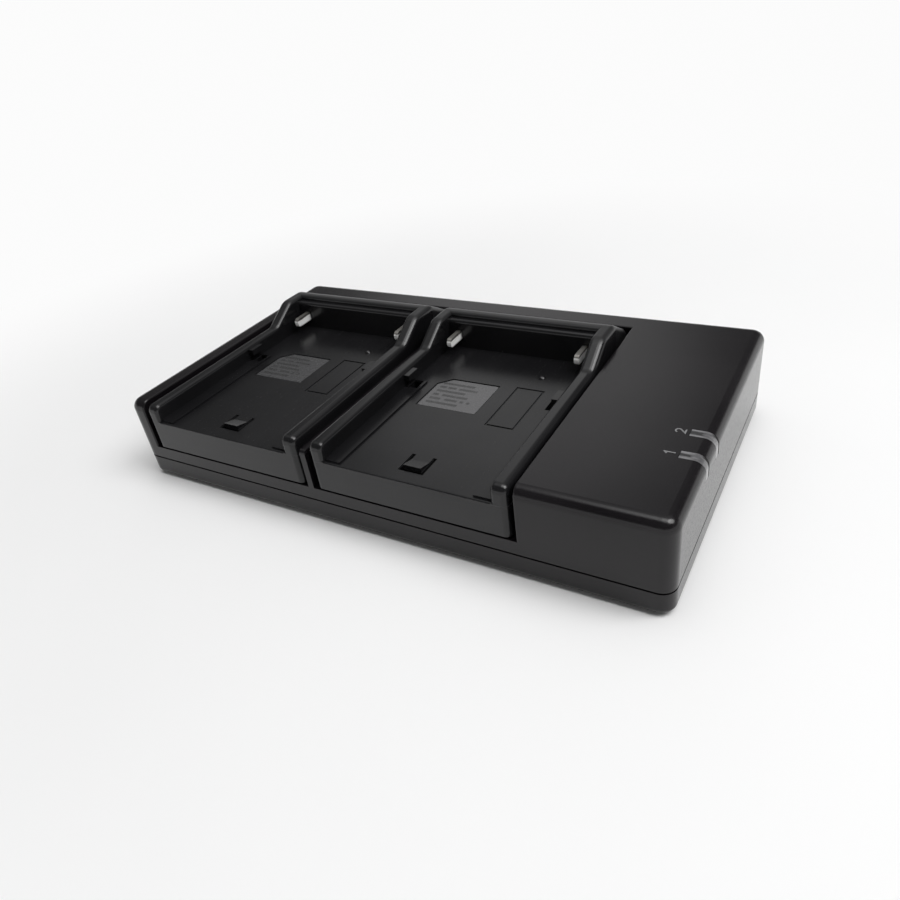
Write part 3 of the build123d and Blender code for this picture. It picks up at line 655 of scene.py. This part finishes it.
# one soft box to the right; the rest of the light comes from above and from the pale floor
keyLamp = {
    "place": (0.444, 0.037, 0.592),
    "aim": (0.0, 0.0, 0.015),
    "size": 0.43,
    "watts": 2.6,
}
lampData = bpy.data.lights.new("keyLamp", "AREA")
lampData.shape = "DISK"
lampData.size = keyLamp["size"]
lampData.energy = keyLamp["watts"]
lamp = bpy.data.objects.new("keyLamp", lampData)
lamp.location = keyLamp["place"]
lamp.rotation_mode = "QUATERNION"
lamp.rotation_quaternion = (Vector(keyLamp["aim"]) - Vector(keyLamp["place"])).to_track_quat("-Z", "Y")
scene.collection.objects.link(lamp)

# white along the horizon, dim walls with a pale panel behind the object, a ceiling that is pale only
# towards the rear, and a long soft strip of light across it, from over the left half to the key lamp
room = {
    "horizon": 0.97,
    "walls": 0.12,
    "panel": 0.75,
    "ceiling": 0.80,
    "strip": 4.1,
    "wallFoot": (0.12, 0.30),
    "panelMiddle": (-0.393, 0.772, 0.500),
    "panelEdge": (0.955, 0.998),  # cosines of its outer and inner half angle
    "ceilingEdge": (0.55, 0.97),
    "ceilingFront": (-0.35, 0.10),  # along Y, where it turns pale
    "stripStart": (-0.40, -0.06),  # along X
    "stripEnd": (0.35, 0.65),
    "stripHalf": (0.08, 0.36),  # along Y, each side
    "stripAbove": (0.3, 0.6),
}
world = bpy.data.worlds.new("room")
world.use_nodes = True
world.node_tree.nodes.clear()
worldWire = Wire(world.node_tree)
towards = worldWire.node("ShaderNodeTexCoord", out="Generated")
height = axis(worldWire, towards, "Z")
nearPanel = worldWire.node(
    "ShaderNodeVectorMath", {"operation": "DOT_PRODUCT"}, {0: towards, 1: room["panelMiddle"]}, out="Value"
)
sideways = axis(worldWire, towards, "X")
back = axis(worldWire, towards, "Y")
strip = step(worldWire, sideways, *room["stripStart"]) * (1 - step(worldWire, sideways, *room["stripEnd"]))
strip = strip * (1 - step(worldWire, abs(back), *room["stripHalf"]))
strip = strip * step(worldWire, height, *room["stripAbove"])
overhead = step(worldWire, height, *room["ceilingEdge"]) * step(worldWire, back, *room["ceilingFront"])
light = grey(room["horizon"])
for share, name in (
    (step(worldWire, height, *room["wallFoot"]), "walls"),
    (step(worldWire, nearPanel, *room["panelEdge"]), "panel"),
    (overhead, "ceiling"),
    (strip, "strip"),
):
    light = mixColour(worldWire, share, light, grey(room[name]))
sky = worldWire.node("ShaderNodeBackground", None, {"Color": light, "Strength": 1.0})
worldWire.node("ShaderNodeOutputWorld", None, {"Surface": sky})
scene.world = world

# the floor keeps its shadows near the object and runs out into an even white
floorStage = {
    "reach": 60.0,
    "colour": (0.86, 0.90),
    "near": 0.08,
    "far": 0.24,
    "white": 0.97,
    "mottle": 12.0,
    "roughness": 0.7,
    "gloss": 0.2,
}
reach = floorStage["reach"]
floorCorners = [(-reach, -reach, 0.0), (reach, -reach, 0.0), (reach, reach, 0.0), (-reach, reach, 0.0)]
floorMesh = bpy.data.meshes.new("floor")
floorMesh.from_pydata(floorCorners, [], [(0, 1, 2, 3)])
floorMaterial, floorWire, floorPlace = startMaterial("paleFloor")
mottle = noise(floorWire, floorPlace, floorStage["mottle"])
near = floorWire.node(
    "ShaderNodeBsdfPrincipled",
    None,
    {
        "Base Color": mixColour(floorWire, mottle, *(grey(shade) for shade in floorStage["colour"])),
        "Roughness": floorStage["roughness"],
        "Specular IOR Level": floorStage["gloss"],
    },
)
white = floorWire.node("ShaderNodeEmission", None, {"Color": grey(1.0), "Strength": floorStage["white"]})
away = floorWire.node("ShaderNodeVectorMath", {"operation": "LENGTH"}, {0: floorPlace}, out="Value")
rays = ("Camera", "Glossy", "Transmission")
seen = [floorWire.node("ShaderNodeLightPath", out=f"Is {ray} Ray") for ray in rays]
distant = step(floorWire, away, floorStage["near"], floorStage["far"])
share = distant * floorWire.calc("MINIMUM", seen[0] + seen[1] + seen[2], 1.0)
both = floorWire.node("ShaderNodeMixShader", None, {0: share, 1: near, 2: white})
floorWire.node("ShaderNodeOutputMaterial", None, {"Surface": both})
floorMesh.materials.append(floorMaterial)
floor = bpy.data.objects.new("floor", floorMesh)
scene.collection.objects.link(floor)
scene.view_settings.view_transform = "Standard"
print("stage set")
